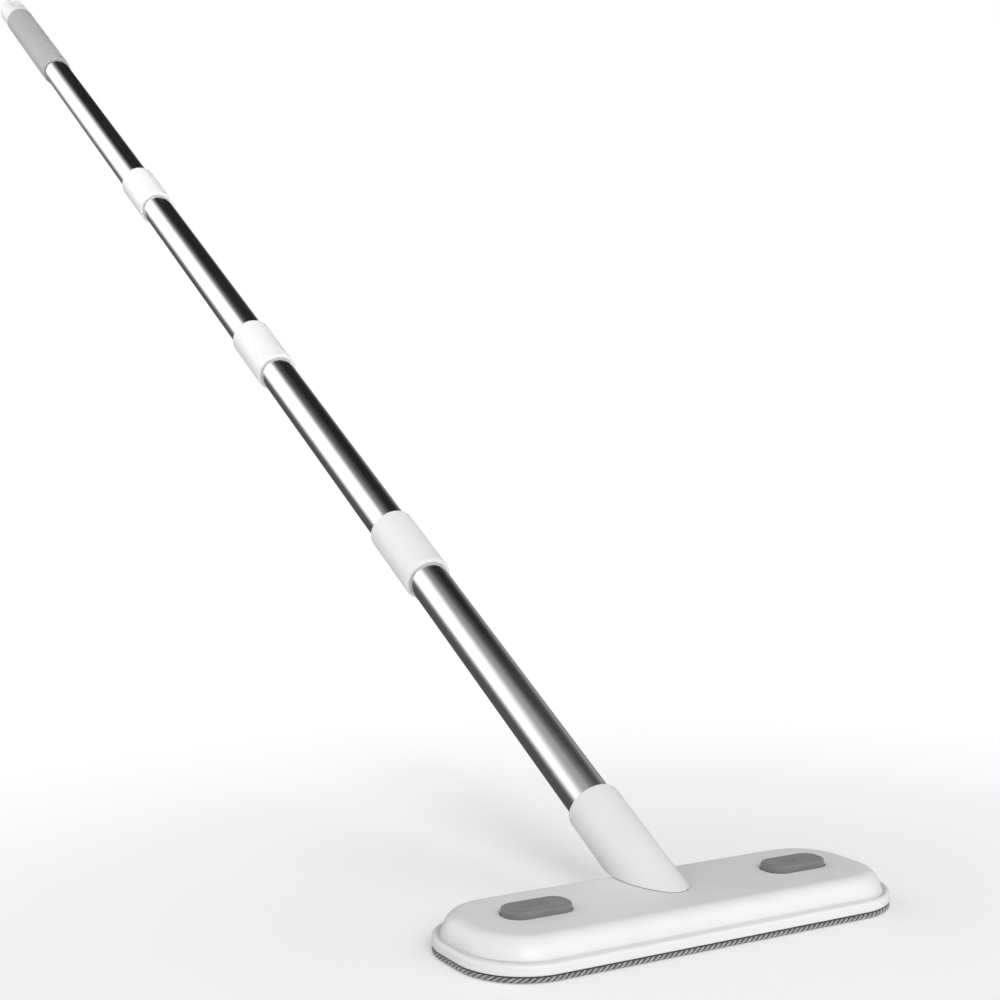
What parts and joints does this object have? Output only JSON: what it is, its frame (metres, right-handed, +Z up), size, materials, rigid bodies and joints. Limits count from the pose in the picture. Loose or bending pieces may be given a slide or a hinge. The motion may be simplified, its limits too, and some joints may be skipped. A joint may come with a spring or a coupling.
{
  "type": "flat mop",
  "caption": "Flat mop: white domed head with two grey press pads and a fringed pad, on a leaning steel pole in screwed sections with a grey grip.",
  "frame": {"origin": "on the floor, at the middle of the pad's sole", "axes": "+Z up, +X along the head, +Y towards the side the pole leans back over"},
  "size_m": [0.241, 1.2507, 0.6832],
  "materials": {
    "white_plastic": "satin",
    "grey_pad": "matte",
    "grey_grip": "matte",
    "black_plastic": "matte",
    "brushed_tube": "polished",
    "zinc_steel": "plain",
    "dark_cloth": "woven",
    "pale_cloth": "pile",
    "binding_cloth": "looped",
    "hook_tape": "hooked"
  },
  "bodies": {
    "head": {"top_cover": "white_plastic", "chassis_plate": "white_plastic", "pad_plate": "white_plastic", "cover_screw_1": "zinc_steel", "cover_screw_2": "zinc_steel", "cover_screw_3": "zinc_steel", "cover_screw_4": "zinc_steel", "cover_screw_5": "zinc_steel", "cover_screw_6": "zinc_steel", "button_spring_left": "zinc_steel", "button_spring_right": "zinc_steel", "hook_strip_front": "hook_tape", "hook_strip_middle": "hook_tape", "hook_strip_rear": "hook_tape", "pad_backing": "dark_cloth", "pad_pile": "pale_cloth", "pad_binding": "binding_cloth"},
    "left_button": {"button_left": "grey_pad"},
    "right_button": {"button_right": "grey_pad"},
    "left_latch": {"latch_left": "black_plastic"},
    "right_latch": {"latch_right": "black_plastic"},
    "pole": {"foot_socket": "white_plastic", "swivel_washer": "black_plastic", "swivel_retainer": "black_plastic", "swivel_screw": "zinc_steel", "tube_1": "brushed_tube", "tube_2": "brushed_tube", "tube_3": "brushed_tube", "tube_4": "brushed_tube", "collar_1": "white_plastic", "collar_2": "white_plastic", "collar_3": "white_plastic", "threaded_plug_1": "black_plastic", "threaded_plug_2": "black_plastic", "threaded_plug_3": "black_plastic", "grip_sleeve": "grey_grip", "end_cap": "white_plastic"}
  },
  "joints": [
    {"name": "pole_swivel", "type": "hinge", "parent": "head", "child": "pole", "pos_m": [0, 0, 0.018], "axis": [0, 0, 1], "continuous": true},
    {"name": "left_press", "type": "slide", "parent": "head", "child": "left_button", "axis": [0, 0, -1], "range_m": [0, 0.0022], "stiffness_N_per_m": 600, "springref_m": -0.002, "deforming": ["button_spring_left"]},
    {"name": "right_press", "type": "slide", "parent": "head", "child": "right_button", "axis": [0, 0, -1], "range_m": [0, 0.0022], "stiffness_N_per_m": 600, "springref_m": -0.002, "deforming": ["button_spring_right"]},
    {"name": "left_release", "type": "slide", "parent": "head", "child": "left_latch", "axis": [1, 0, 0], "range_m": [0, 0.0022]},
    {"name": "right_release", "type": "slide", "parent": "head", "child": "right_latch", "axis": [-1, 0, 0], "range_m": [0, 0.0022]}
  ],
  "couplings": [
    {"joint": "left_release", "follows": "left_press", "ratio": 1},
    {"joint": "right_release", "follows": "right_press", "ratio": 1}
  ]
}
